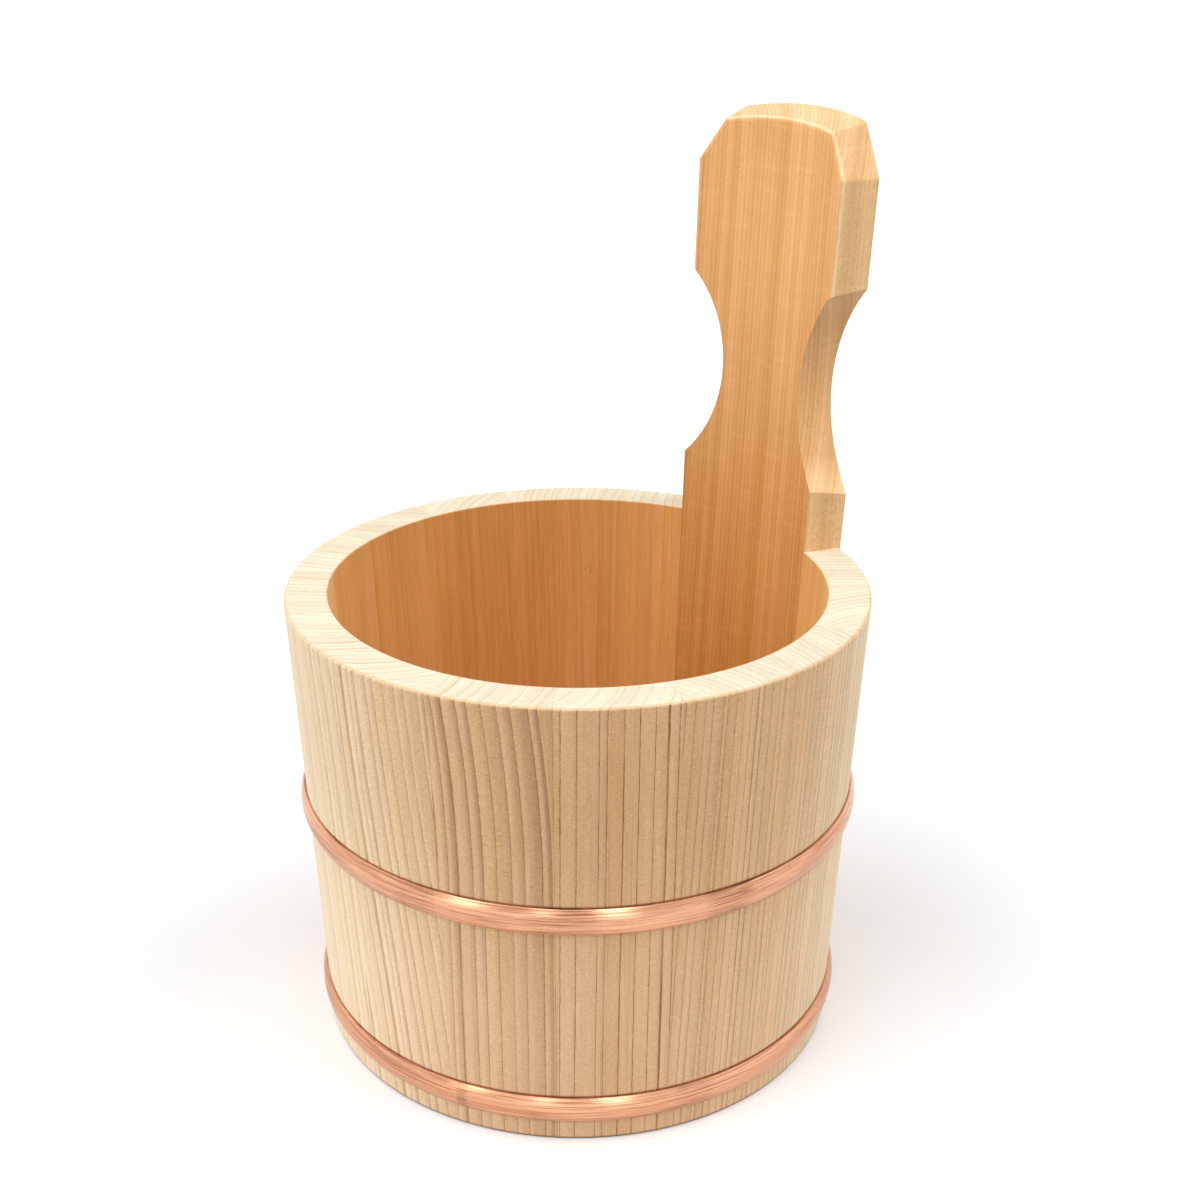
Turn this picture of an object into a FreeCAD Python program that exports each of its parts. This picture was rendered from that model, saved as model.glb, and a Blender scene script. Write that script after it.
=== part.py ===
import FreeCAD, Part
import os
import Sketcher

# Bath bowl with one tall handle: a tapered wooden tub of upright staves, one of which
# runs up past the rim as the handle, held by two copper hoops round a let-in bottom.
# The origin is on the tub's axis in the plane of the foot, and the handle is at +Y.

doc = FreeCAD.newDocument("bath_bowl")
sizes = doc.addObject("Spreadsheet::Sheet", "sizes")

# Driving dimensions in millimetres, or plain counts
driving = [
    # Tub
    ("rim_radius", 105.0, "outside of the wall at the rim"),
    ("foot_radius", 96.6, "outside of the wall at the foot"),
    ("body_height", 170.0, "foot to rim"),
    ("wall", 15.3, "thickness of every stave, measured level"),
    ("stave_count", 14, "staves beside the handle stave"),
    ("rim_round", 1.2, "eased outer edge of the rim"),
    ("rim_inner_round", 0.6, "eased inner edge of the rim"),
    ("foot_round", 1.0, "eased outer edge of the foot"),
    # Bottom board and the groove that holds it
    ("bottom_lift", 9.0, "foot to the underside of the groove"),
    ("bottom_thickness", 12.0, "thickness of the bottom planks"),
    ("bottom_ease", 1.2, "chamfer round the board's edge"),
    ("groove_depth", 4.0, "how far the groove goes into the wall"),
    ("groove_play", 0.1, "gap between the board and its groove"),
    ("plank_count", 3, "planks in the bottom"),
    ("plank_width", 58.0, "width of a middle plank"),
    # Bamboo pegs
    ("stave_peg_diameter", 3.0, "pegs between neighbouring staves"),
    ("stave_peg_length", 16.0, "half in each stave"),
    ("low_peg_height", 52.0, "lower ring of stave pegs"),
    ("high_peg_height", 132.0, "upper ring of stave pegs"),
    ("plank_peg_diameter", 4.0, "pegs between the bottom planks"),
    ("plank_peg_length", 24.0, "half in each plank"),
    ("plank_peg_spacing", 76.0, "between the two pegs of one joint"),
    ("peg_play", 0.04, "gap round a peg"),
    ("peg_end_play", 0.5, "spare depth past a peg's end"),
    # Copper hoops
    ("upper_hoop_height", 86.4, "foot to the lower edge of the upper hoop"),
    ("lower_hoop_height", 8.4, "foot to the lower edge of the lower hoop"),
    ("hoop_width", 10.1, "height of a hoop's band"),
    ("hoop_thickness", 2.3, "thickness at the middle of the band"),
    ("hoop_edge", 0.7, "thickness at the edges of the band"),
    ("hoop_play", 0.04, "gap between a hoop and the wall"),
    # Handle stave
    ("handle_width", 77.6, "across the stave at the rim, outside"),
    ("waist_rise", 59.8, "rim to the narrowest place"),
    ("waist_width", 43.0, "narrowest width, at the middle of the wall"),
    ("waist_radius", 51.6, "radius of the hollow on either side"),
    ("head_rise", 98.7, "narrowest place to the top of the head, outside"),
    ("head_fall", 3.8, "how far the top slopes down to the inside"),
    ("head_top_radius", 265.0, "arch of the top across the head"),
    ("head_corner_drop", 21.3, "top to where a corner is cut off"),
    ("head_corner_rise", 17.0, "height of the corner cut"),
    ("head_corner_width", 11.6, "width of the corner cut at that height"),
    ("head_inner_round", 2.0, "eased inner edges of the head"),
    ("head_outer_round", 0.8, "eased outer edges of the head"),
    ("head_corner_extra", 0.2, "the corner cuts' ends are rounder than the inner edges by this"),
]
for row, (alias, size, note) in enumerate(driving, start=1):
    sizes.set(f"A{row}", alias)
    sizes.set(f"B{row}", str(size))
    sizes.set(f"C{row}", note)
    sizes.setAlias(f"B{row}", alias)
doc.recompute()

stave_count = int(sizes.get("stave_count"))
plank_count = int(sizes.get("plank_count"))

# Sizes that follow from the driving ones, as expressions
taper = "(sizes.rim_radius - sizes.foot_radius) / sizes.body_height"
groove_low = "sizes.bottom_lift"
groove_high = "(sizes.bottom_lift + sizes.bottom_thickness + 2 * sizes.groove_play)"
board_low = "(sizes.bottom_lift + sizes.groove_play)"
board_high = "(sizes.bottom_lift + sizes.groove_play + sizes.bottom_thickness)"
board_middle = "(sizes.bottom_lift + sizes.groove_play + sizes.bottom_thickness / 2)"
waist_height = "(sizes.body_height + sizes.waist_rise)"
handle_top = f"({waist_height} + sizes.head_rise)"
head_slope = "atan(sizes.head_fall / sizes.wall)"
head_corner_height = f"({handle_top} - sizes.head_corner_drop)"
head_corner_round = "(sizes.head_inner_round + sizes.head_corner_extra)"
handle_half_angle = "asin(sizes.handle_width / 2 / sizes.rim_radius)"
stave_angle = f"((360 deg - 2 * {handle_half_angle}) / sizes.stave_count)"


def outer_radius(height):
    return f"(sizes.foot_radius + {taper} * ({height}))"


def inner_radius(height):
    return f"({outer_radius(height)} - sizes.wall)"


def middle_radius(height):
    return f"({outer_radius(height)} - sizes.wall / 2)"


groove_radius = f"({inner_radius(groove_low)} + sizes.groove_depth)"
board_radius = f"({groove_radius} - sizes.groove_play)"
waist_half_angle = f"asin(sizes.waist_width / 2 / {middle_radius(waist_height)})"


def number(expression):
    result = sizes.evalExpression(expression)
    return float(getattr(result, "Value", result))


# Sketches

def plane_of(body, role):
    for feature in body.Origin.OriginFeatures:
        if feature.Role == role:
            return feature
    raise ValueError(role)


def new_sketch(body, name, role, turn=None, tilt=None, shift=None):
    """A sketch on one of the body's own planes: turned about the tub's axis, tilted or shifted."""
    sketch = body.newObject("Sketcher::SketchObject", f"{body.Name}_{name}")
    sketch.AttachmentSupport = [(plane_of(body, role), "")]
    sketch.MapMode = "FlatFace"
    upright = FreeCAD.Vector(0, 1, 0)
    level = FreeCAD.Vector(1, 0, 0)
    for axis, angle in ((upright, turn), (level, tilt)):
        if angle is not None:
            turned = FreeCAD.Rotation(axis, number(angle))
            sketch.AttachmentOffset = FreeCAD.Placement(FreeCAD.Vector(0, 0, 0), turned)
            sketch.setExpression("AttachmentOffset.Rotation.Angle", angle)
    if shift is not None:
        sketch.setExpression("AttachmentOffset.Base.z", shift)
    return sketch


def pin_point(sketch, geometry, end, across, up):
    """Fixes one end of a line or arc at the distances across and up from the origin."""
    for kind, distance, axis in (("DistanceX", across, -2), ("DistanceY", up, -1)):
        if distance == "0":
            sketch.addConstraint(Sketcher.Constraint("PointOnObject", geometry, end, axis))
            continue
        fixed = Sketcher.Constraint(kind, -1, 1, geometry, end, number(distance))
        index = sketch.addConstraint(fixed)
        sketch.setExpression(f"Constraints[{index}]", distance)


def draw_outline(sketch, corners):
    """A closed outline of straight lines through the corners."""
    points = [FreeCAD.Vector(number(across), number(up), 0) for across, up in corners]
    count = len(corners)
    first = sketch.GeometryCount
    for index in range(count):
        line = Part.LineSegment(points[index], points[(index + 1) % count])
        sketch.addGeometry(line)
    for index, (across, up) in enumerate(corners):
        this_line = first + index
        next_line = first + (index + 1) % count
        sketch.addConstraint(Sketcher.Constraint("Coincident", this_line, 2, next_line, 1))
        pin_point(sketch, this_line, 1, across, up)


def join_ends(sketch, joined):
    for first, first_end, second, second_end in joined:
        sketch.addConstraint(
            Sketcher.Constraint("Coincident", first, first_end, second, second_end))


def draw_circle(sketch, across, up, radius):
    centre = FreeCAD.Vector(number(across), number(up), 0)
    circle = Part.Circle(centre, FreeCAD.Vector(0, 0, 1), number(radius))
    index = sketch.addGeometry(circle)
    pin_point(sketch, index, 3, across, up)
    size = sketch.addConstraint(Sketcher.Constraint("Radius", index, number(radius)))
    sketch.setExpression(f"Constraints[{size}]", radius)


def draw_arch(sketch, half_width, crest, radius, high):
    """The outline between an arch, whose crest is over the origin, and a level line above it."""
    drop = f"({radius} - sqrt({radius} ^ 2 - ({half_width}) ^ 2))"
    foot = f"({crest} - {drop})"

    def point(across, up):
        return FreeCAD.Vector(number(across), number(up), 0)

    left, right = f"-({half_width})", half_width
    arc = sketch.addGeometry(Part.Arc(point(right, foot), point("0", crest), point(left, foot)))
    rising = sketch.addGeometry(Part.LineSegment(point(right, foot), point(right, high)))
    top = sketch.addGeometry(Part.LineSegment(point(right, high), point(left, high)))
    falling = sketch.addGeometry(Part.LineSegment(point(left, high), point(left, foot)))
    joined = [(arc, 1, rising, 1), (rising, 2, top, 1), (top, 2, falling, 1), (falling, 2, arc, 2)]
    join_ends(sketch, joined)
    pin_point(sketch, rising, 1, right, foot)
    pin_point(sketch, rising, 2, right, high)
    pin_point(sketch, falling, 1, left, high)
    pin_point(sketch, falling, 2, left, foot)
    size = sketch.addConstraint(Sketcher.Constraint("Radius", arc, number(radius)))
    sketch.setExpression(f"Constraints[{size}]", radius)


# Features

def revolve(body, sketch, angle="360 deg"):
    """Turns the section about the tub's axis, evenly to both sides of its plane."""
    turned = body.newObject("PartDesign::Revolution", f"{body.Name}_turned")
    turned.Profile = sketch
    turned.ReferenceAxis = (sketch, ["V_Axis"])
    turned.Midplane = True
    turned.setExpression("Angle", angle)
    doc.recompute()
    return turned


def pocket(body, sketch, name, depth=None, reverse=False):
    """Cuts the sketch into the body, through all of it where no depth is given."""
    before = body.Shape.Volume
    cut = body.newObject("PartDesign::Pocket", f"{body.Name}_{name}")
    cut.Profile = sketch
    cut.Reversed = reverse
    if depth is None:
        cut.Type = "ThroughAll"
    else:
        cut.setExpression("Length", depth)
    doc.recompute()
    if not body.Shape.Volume < before:
        raise ValueError(f"{cut.Name} cuts nothing")
    return cut


def mirror(body, features):
    """Repeats the features on the other side of the body's middle plane."""
    before = body.Shape.Volume
    mirrored = body.newObject("PartDesign::Mirrored", f"{body.Name}_mirrored")
    mirrored.Originals = features
    mirrored.MirrorPlane = (plane_of(body, "XZ_Plane"), [""])
    body.Tip = mirrored
    doc.recompute()
    if not body.Shape.Volume < before:
        raise ValueError(f"{mirrored.Name} changes nothing")
    return mirrored


def edge_names(shape, wanted):
    return [f"Edge{i}" for i, edge in enumerate(shape.Edges, start=1) if wanted(edge)]


def ring_edge(radius, height):
    """Picks the level edges that lie at this radius and height."""
    def wanted(edge):
        return all(
            abs((point.X ** 2 + point.Y ** 2) ** 0.5 - radius) < 0.01
            and abs(point.Z - height) < 0.01
            for point in edge.Vertexes
        )
    return wanted


def ease(body, base, name, edges, radius):
    rounded = body.newObject("PartDesign::Fillet", f"{body.Name}_{name}")
    rounded.Base = (base, edges)
    rounded.setExpression("Radius", radius)
    doc.recompute()
    return rounded


# Staves

def drill_peg_holes(body, half_angle):
    """The peg holes in one side face of a stave, at the middle of its thickness."""
    sketch = new_sketch(body, "peg_marks", "XZ_Plane", turn=half_angle)
    for height in ("sizes.low_peg_height", "sizes.high_peg_height"):
        radius = "sizes.stave_peg_diameter / 2 + sizes.peg_play"
        draw_circle(sketch, middle_radius(height), height, radius)
    depth = "sizes.stave_peg_length / 2 + sizes.peg_end_play"
    return pocket(body, sketch, "peg_holes", depth, reverse=True)


def wall_section(top):
    """The section of the wall from the foot to its top, with the groove for the bottom."""
    return [
        (outer_radius("0"), "0"),
        (outer_radius(top), top),
        (inner_radius(top), top),
        (inner_radius(groove_high), groove_high),
        (groove_radius, groove_high),
        (groove_radius, groove_low),
        (inner_radius(groove_low), groove_low),
        (inner_radius("0"), "0"),
    ]


def make_stave(name, turn):
    body = doc.addObject("PartDesign::Body", name)
    section = new_sketch(body, "section", "XZ_Plane")
    draw_outline(section, wall_section("sizes.body_height"))
    turned = revolve(body, section, stave_angle)
    rim = number("sizes.body_height")
    outer_rim = edge_names(turned.Shape, ring_edge(number("sizes.rim_radius"), rim))
    eased = ease(body, turned, "rim_round", outer_rim, "sizes.rim_round")
    inner_rim = edge_names(
        eased.Shape, ring_edge(number(inner_radius("sizes.body_height")), rim))
    eased = ease(body, eased, "rim_inner_round", inner_rim, "sizes.rim_inner_round")
    foot = edge_names(eased.Shape, ring_edge(number("sizes.foot_radius"), 0))
    ease(body, eased, "foot_round", foot, "sizes.foot_round")
    holes = drill_peg_holes(body, f"{stave_angle} / 2")
    mirror(body, [holes])
    place_round_axis(body, turn)
    return body


def place_round_axis(body, turn):
    axis = FreeCAD.Vector(0, 0, 1)
    body.Placement = FreeCAD.Placement(
        FreeCAD.Vector(0, 0, 0), FreeCAD.Rotation(axis, number(turn)))
    body.setExpression("Placement.Rotation.Angle", turn)


# Handle stave

def distance_from_faces(point):
    """How far a point is from the stave's outer face and from its inner face."""
    outside = number("sizes.foot_radius") + number(taper) * point.z
    from_axis = (point.x ** 2 + point.y ** 2) ** 0.5
    return abs(from_axis - outside), abs(from_axis - outside + number("sizes.wall"))


def head_edges(shape, face):
    """The edges above the waist that run round the head's outer (0) or inner (1) face."""
    waist = number(waist_height)

    def wanted(edge):
        points = [vertex.Point for vertex in edge.Vertexes]
        return len(points) == 2 and all(
            point.z > waist and distance_from_faces(point)[face] < 0.01 for point in points)

    return edge_names(shape, wanted)


def corner_cut_edges(shape):
    """The edges through the thickness at the two ends of each corner cut."""
    lowest = number(head_corner_height) - 0.01

    def wanted(edge):
        points = [vertex.Point for vertex in edge.Vertexes]
        if len(points) != 2 or min(point.z for point in points) < lowest:
            return False
        faces = {distance_from_faces(point)[0] < 0.01 for point in points}
        return len(faces) == 2

    return edge_names(shape, wanted)


def make_handle_stave(name):
    body = doc.addObject("PartDesign::Body", name)
    section = new_sketch(body, "section", "XZ_Plane")
    board_end = f"({handle_top} + sizes.wall)"
    draw_outline(section, wall_section(board_end))
    turned = revolve(body, section, f"2 * {handle_half_angle}")
    foot = edge_names(turned.Shape, ring_edge(number("sizes.foot_radius"), 0))
    ease(body, turned, "foot_round", foot, "sizes.foot_round")
    holes = drill_peg_holes(body, handle_half_angle)

    # The waist is hollowed by a drum that runs straight out from the axis
    waist_sketch = new_sketch(body, "waist_mark", "YZ_Plane", turn=waist_half_angle)
    draw_circle(waist_sketch, "sizes.waist_radius", waist_height, "sizes.waist_radius")
    waist = pocket(body, waist_sketch, "waist", reverse=True)

    # The top is planed to an arch that slopes down to the inside
    top_sketch = new_sketch(body, "top_mark", "YZ_Plane", tilt=f"-{head_slope}")
    crest = f"({handle_top} * cos({head_slope}) - {outer_radius(handle_top)} * sin({head_slope}))"
    draw_arch(top_sketch, "sizes.handle_width", crest, "sizes.head_top_radius", board_end)
    pocket(body, top_sketch, "top", reverse=True)

    # Each top corner is sawn off, from the side face to well past the top
    corner_sketch = new_sketch(body, "corner_mark", "YZ_Plane", turn=handle_half_angle)
    past_top = "2"
    corner_top = f"({head_corner_height} + {past_top} * sizes.head_corner_rise)"
    draw_outline(corner_sketch, [
        ("0", head_corner_height),
        (f"-{past_top} * sizes.head_corner_width", corner_top),
        ("sizes.wall", corner_top),
        ("sizes.wall", head_corner_height),
    ])
    corner = pocket(body, corner_sketch, "corner", reverse=True)
    shaped = mirror(body, [holes, waist, corner])

    ends = corner_cut_edges(shaped.Shape)
    shaped = ease(body, shaped, "corner_round", ends, head_corner_round)
    inside = head_edges(shaped.Shape, 1)
    shaped = ease(body, shaped, "inner_round", inside, "sizes.head_inner_round")
    outside = head_edges(shaped.Shape, 0)
    ease(body, shaped, "outer_round", outside, "sizes.head_outer_round")
    place_round_axis(body, "90 deg")
    return body


# Bottom

def board_section():
    """Half the section of the bottom board, chamfered where it enters the groove."""
    return [
        ("0", board_low),
        (f"{board_radius} - sizes.bottom_ease", board_low),
        (board_radius, f"{board_low} + sizes.bottom_ease"),
        (board_radius, f"{board_high} - sizes.bottom_ease"),
        (f"{board_radius} - sizes.bottom_ease", board_high),
        ("0", board_high),
    ]


def plank_joint(index):
    """Where the joint after plank number index lies across the board."""
    return f"({index} - {plank_count} / 2) * sizes.plank_width"


def trim_plank(body, joint, side, name):
    """Takes away the board beyond a joint: side is 1 towards +X and -1 towards -X."""
    sketch = new_sketch(body, f"{name}_mark", "XY_Plane")
    far = f"{side} * 2 * sizes.rim_radius"
    draw_outline(sketch, [
        (joint, "-2 * sizes.rim_radius"),
        (far, "-2 * sizes.rim_radius"),
        (far, "2 * sizes.rim_radius"),
        (joint, "2 * sizes.rim_radius"),
    ])
    pocket(body, sketch, name, reverse=True)
    holes = new_sketch(body, f"{name}_peg_marks", "YZ_Plane", shift=joint)
    for half in ("-1", "1"):
        radius = "sizes.plank_peg_diameter / 2 + sizes.peg_play"
        draw_circle(holes, f"{half} * sizes.plank_peg_spacing / 2", board_middle, radius)
    depth = "sizes.plank_peg_length / 2 + sizes.peg_end_play"
    pocket(body, holes, f"{name}_peg_holes", depth, reverse=side < 0)


def make_plank(name, index):
    body = doc.addObject("PartDesign::Body", name)
    section = new_sketch(body, "section", "XZ_Plane")
    draw_outline(section, board_section())
    revolve(body, section)
    if index > 1:
        trim_plank(body, plank_joint(index - 1), -1, "left_edge")
    if index < plank_count:
        trim_plank(body, plank_joint(index), 1, "right_edge")
    return body


# Hoops

def make_hoop(name, low):
    """A copper band with a rounded outside, on the taper of the wall."""
    body = doc.addObject("PartDesign::Body", name)
    section = new_sketch(body, "section", "XZ_Plane")
    high = f"({low} + sizes.hoop_width)"
    inside_low = f"({outer_radius(low)} + sizes.hoop_play)"
    inside_high = f"({outer_radius(high)} + sizes.hoop_play)"
    outside_low = f"({inside_low} + sizes.hoop_edge)"
    outside_high = f"({inside_high} + sizes.hoop_edge)"
    bulge = "(sizes.hoop_thickness - sizes.hoop_edge)"
    radius = f"(sizes.hoop_width ^ 2 / 8 / {bulge} + {bulge} / 2)"

    def point(across, up):
        return FreeCAD.Vector(number(across), number(up), 0)

    top = section.addGeometry(Part.LineSegment(point(inside_high, high), point(outside_high, high)))
    middle = point(
        f"({outside_low} + {outside_high}) / 2 + {bulge}", f"({low} + {high}) / 2")
    arc = section.addGeometry(Part.Arc(point(outside_low, low), middle, point(outside_high, high)))
    bottom = section.addGeometry(Part.LineSegment(point(outside_low, low), point(inside_low, low)))
    back = section.addGeometry(Part.LineSegment(point(inside_low, low), point(inside_high, high)))
    joined = [(top, 2, arc, 2), (arc, 1, bottom, 1), (bottom, 2, back, 1), (back, 2, top, 1)]
    join_ends(section, joined)
    pin_point(section, top, 1, inside_high, high)
    pin_point(section, top, 2, outside_high, high)
    pin_point(section, bottom, 1, outside_low, low)
    pin_point(section, bottom, 2, inside_low, low)
    size = section.addConstraint(Sketcher.Constraint("Radius", arc, number(radius)))
    section.setExpression(f"Constraints[{size}]", radius)
    revolve(body, section)
    return body


# Pegs

def make_peg(name, diameter, length, centre, direction):
    """One split bamboo peg, shaved to eight sides, centred in its joint along the direction."""
    peg = doc.addObject("Part::Prism", name)
    peg.Polygon = 8
    peg.setExpression("Circumradius", f"{diameter} / 2")
    peg.setExpression("Height", length)
    start = centre - direction * (number(length) / 2)
    upright = FreeCAD.Vector(0, 0, 1)
    peg.Placement = FreeCAD.Placement(start, FreeCAD.Rotation(upright, direction))
    return peg


def make_stave_pegs(name):
    joint_count = stave_count + 1
    heights = ("sizes.low_peg_height", "sizes.high_peg_height")
    pegs = []
    for joint in range(joint_count):
        turn = number(f"90 deg + {handle_half_angle} + {joint} * {stave_angle}")
        spin = FreeCAD.Rotation(FreeCAD.Vector(0, 0, 1), turn)
        for level, height in enumerate(heights, start=1):
            out = FreeCAD.Vector(number(middle_radius(height)), 0, number(height))
            pegs.append(make_peg(
                f"stave_peg_{joint + 1:02d}_{level}",
                "sizes.stave_peg_diameter",
                "sizes.stave_peg_length",
                spin.multVec(out),
                spin.multVec(FreeCAD.Vector(0, 1, 0)),
            ))
    return gather(name, pegs)


def make_bottom_pegs(name):
    pegs = []
    for joint in range(1, plank_count):
        for side in (-1, 1):
            centre = FreeCAD.Vector(
                number(plank_joint(joint)),
                number(f"{side} * sizes.plank_peg_spacing / 2"),
                number(board_middle),
            )
            pegs.append(make_peg(
                f"bottom_peg_{len(pegs) + 1:02d}",
                "sizes.plank_peg_diameter",
                "sizes.plank_peg_length",
                centre,
                FreeCAD.Vector(1, 0, 0),
            ))
    return gather(name, pegs)


def gather(name, pegs):
    group = doc.addObject("Part::Compound", name)
    group.Links = pegs
    doc.recompute()
    return group


# The pieces
pieces = [make_handle_stave("handle_stave")]
for index in range(stave_count):
    turn = f"90 deg + {handle_half_angle} + ({index} + 0.5) * {stave_angle}"
    pieces.append(make_stave(f"stave_{index + 1:02d}", turn))
for index in range(1, plank_count + 1):
    pieces.append(make_plank(f"bottom_plank_{index:02d}", index))
pieces.append(make_hoop("upper_hoop", "sizes.upper_hoop_height"))
pieces.append(make_hoop("lower_hoop", "sizes.lower_hoop_height"))
pieces.append(make_stave_pegs("stave_pegs"))
pieces.append(make_bottom_pegs("bottom_pegs"))
doc.recompute()

# Nothing is written unless every object came out sound
for item in doc.Objects:
    if "Invalid" in item.State or "Error" in item.State:
        raise ValueError(f"{item.Name} failed: {item.State}")
for piece in pieces:
    if piece.Shape.isNull() or not piece.Shape.isValid():
        raise ValueError(f"{piece.Label} has no valid shape")

os.makedirs("parts", exist_ok=True)
for piece in pieces:
    piece.Shape.exportStep(f"parts/{piece.Label}.step")
    solids = len(piece.Shape.Solids)
    print(f"{piece.Label}: {solids} solid(s), {piece.Shape.Volume / 1000:.2f} cm3")
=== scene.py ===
import math
import random

import bpy
from mathutils import Matrix, Vector


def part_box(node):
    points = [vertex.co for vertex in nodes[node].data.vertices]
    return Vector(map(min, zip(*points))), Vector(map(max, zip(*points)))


# Bath bowl of upright cypress staves with a long handle stave and two copper hoops.
# The frame brings every piece at its size. This script gives each one its finish,
# sets the floor and the light, and puts the camera where the photograph was taken.

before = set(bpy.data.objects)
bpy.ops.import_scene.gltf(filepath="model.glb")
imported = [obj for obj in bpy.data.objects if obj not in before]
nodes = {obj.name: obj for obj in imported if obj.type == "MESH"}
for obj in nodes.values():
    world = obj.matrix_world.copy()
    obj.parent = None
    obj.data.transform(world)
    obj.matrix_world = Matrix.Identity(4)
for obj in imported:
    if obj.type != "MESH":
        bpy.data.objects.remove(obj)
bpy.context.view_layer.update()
print("frame loaded:", len(nodes), "pieces")

mm = 0.001

# The tub's measures that the grain follows
tub = {
    "staveCount": 14,
    "rimHeight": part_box("stave_01")[1].z,
    "rimRadius": 105 * mm,
    "footRadius": 96.6 * mm,
    "wall": 15.3 * mm,
    "handleWidth": 77.6 * mm,    # across the handle stave at the rim, outside
    "headHeight": 26 * mm,       # the handle's cut-off corners lie within it
}
tub["handleHalfAngle"] = math.asin(tub["handleWidth"] / 2 / tub["rimRadius"])
tub["staveAngle"] = 2 * (math.pi - tub["handleHalfAngle"]) / tub["staveCount"]
tub["lean"] = (tub["rimRadius"] - tub["footRadius"]) / tub["rimHeight"]
tub["middleRadius"] = (tub["rimRadius"] + tub["footRadius"] - tub["wall"]) / 2


def colour(red, green, blue):    # screen colour 0 to 255 to the linear one that shaders use
    def linear(value):
        value /= 255
        return value / 12.92 if value <= 0.04045 else ((value + 0.055) / 1.055) ** 2.4
    return (linear(red), linear(green), linear(blue), 1.0)


# The camera's place, as fitted to the photograph
shot = {
    "turn": math.radians(49.55),     # round the tub from the side opposite the handle
    "distance": 578.26 * mm,
    "height": 402.08 * mm,
    "pitch": math.radians(22.51),
    "yaw": math.radians(0.780),
    "roll": math.radians(0.302),
    "focalPixels": 1725.62,
    "imagePixels": 1200,
    "sensorWidth": 36.0,             # the lens is worked out from it
}


def direction(turn, height):    # towards a place round the tub, as seen from the camera's side
    turn, height = math.radians(turn) + shot["turn"], math.radians(height)
    return Vector((math.sin(turn) * math.cos(height), -math.cos(turn) * math.cos(height),
                   math.sin(height)))


# Helpers for node trees
nodesInRow = 10


def addNode(tree, kind, inputs=None, **settings):
    node = tree.nodes.new(kind)
    row, column = divmod(len(tree.nodes), nodesInRow)
    node.location = (200 * column, -260 * row)
    for name, value in settings.items():
        setattr(node, name, value)
    for key, value in (inputs or {}).items():
        connect(tree, value, node.inputs[key])
    return node


def connect(tree, value, socket):
    if isinstance(value, bpy.types.NodeSocket):
        tree.links.new(value, socket)
    else:
        socket.default_value = value


def maths(tree, operation, first, second=0.0, third=0.0):
    node = addNode(tree, "ShaderNodeMath", {0: first, 1: second, 2: third}, operation=operation)
    return node.outputs[0]


def between(tree, share, low, high):    # low where the share is 0, high where it is 1
    return maths(tree, "MULTIPLY_ADD", share, high - low, low)


def nudge(tree, value, effect, share):    # an effect that lies round one half moves the value
    return maths(tree, "MULTIPLY_ADD", maths(tree, "SUBTRACT", effect, 0.5), share, value)


def blend(tree, first, second, share):    # share is the second one's
    return maths(tree, "ADD", maths(tree, "MULTIPLY", first, 1 - share),
                 maths(tree, "MULTIPLY", second, share))


def ramp(tree, value, start, end, low=0.0, high=1.0):    # smooth step from low to high
    node = addNode(tree, "ShaderNodeMapRange", {
        "Value": value, "From Min": start, "From Max": end, "To Min": low, "To Max": high,
    }, interpolation_type="SMOOTHSTEP")
    return node.outputs["Result"]


def hump(tree, value, start, full, fade, end):    # up from start to full, down from fade to end
    return maths(tree, "MULTIPLY", ramp(tree, value, start, full),
                 ramp(tree, value, fade, end, 1.0, 0.0))


def mixColour(tree, mask, first, second, mode="MIX"):
    node = addNode(tree, "ShaderNodeMix", {0: mask, 6: first, 7: second},
                   data_type="RGBA", blend_type=mode)
    return node.outputs[2]


def combine(tree, x, y, z):
    return addNode(tree, "ShaderNodeCombineXYZ", {0: x, 1: y, 2: z}).outputs[0]


def split(tree, vector):
    return addNode(tree, "ShaderNodeSeparateXYZ", {0: vector}).outputs


def stretch(tree, vector, scale, shift=(0, 0, 0)):
    node = addNode(tree, "ShaderNodeVectorMath", {0: vector, 1: scale, 2: shift},
                   operation="MULTIPLY_ADD")
    return node.outputs[0]


def noise(tree, place, pattern, shift=(0, 0, 0)):    # pattern: scale by axis, detail, roughness
    scale, detail, roughness = pattern
    node = addNode(tree, "ShaderNodeTexNoise", {
        "Vector": stretch(tree, place, scale, shift), "Scale": 1.0,
        "Detail": detail, "Roughness": roughness,
    })
    return node.outputs["Fac"]


def noiseAlong(tree, value, scale, detail):    # one value's own noise
    node = addNode(tree, "ShaderNodeTexNoise", {"W": value, "Scale": scale, "Detail": detail},
                   noise_dimensions="1D")
    return node.outputs["Fac"]


def newGroup(name, inputs, outputs):
    group = bpy.data.node_groups.new(name, "ShaderNodeTree")
    kinds = {float: "NodeSocketFloat", tuple: "NodeSocketVector"}
    for label, value in inputs.items():
        socket = group.interface.new_socket(name=label, in_out="INPUT",
                                            socket_type=kinds[type(value)])
        socket.default_value = value
    for label in outputs:
        group.interface.new_socket(name=label, in_out="OUTPUT", socket_type="NodeSocketFloat")
    enter = group.nodes.new("NodeGroupInput")
    leave = group.nodes.new("NodeGroupOutput")
    return group, enter.outputs, leave.inputs


def useGroup(tree, group, inputs):
    node = addNode(tree, "ShaderNodeGroup", node_tree=group)
    for label, value in inputs.items():
        connect(tree, value, node.inputs[label])
    return node.outputs


# Places and directions in a stave's own axes: x out through the wall, y along it, z up the grain

def turnBack(tree, vector, turn):
    node = addNode(tree, "ShaderNodeVectorRotate", {"Vector": vector, "Angle": turn},
                   rotation_type="Z_AXIS", invert=True)
    return node.outputs[0]


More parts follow.
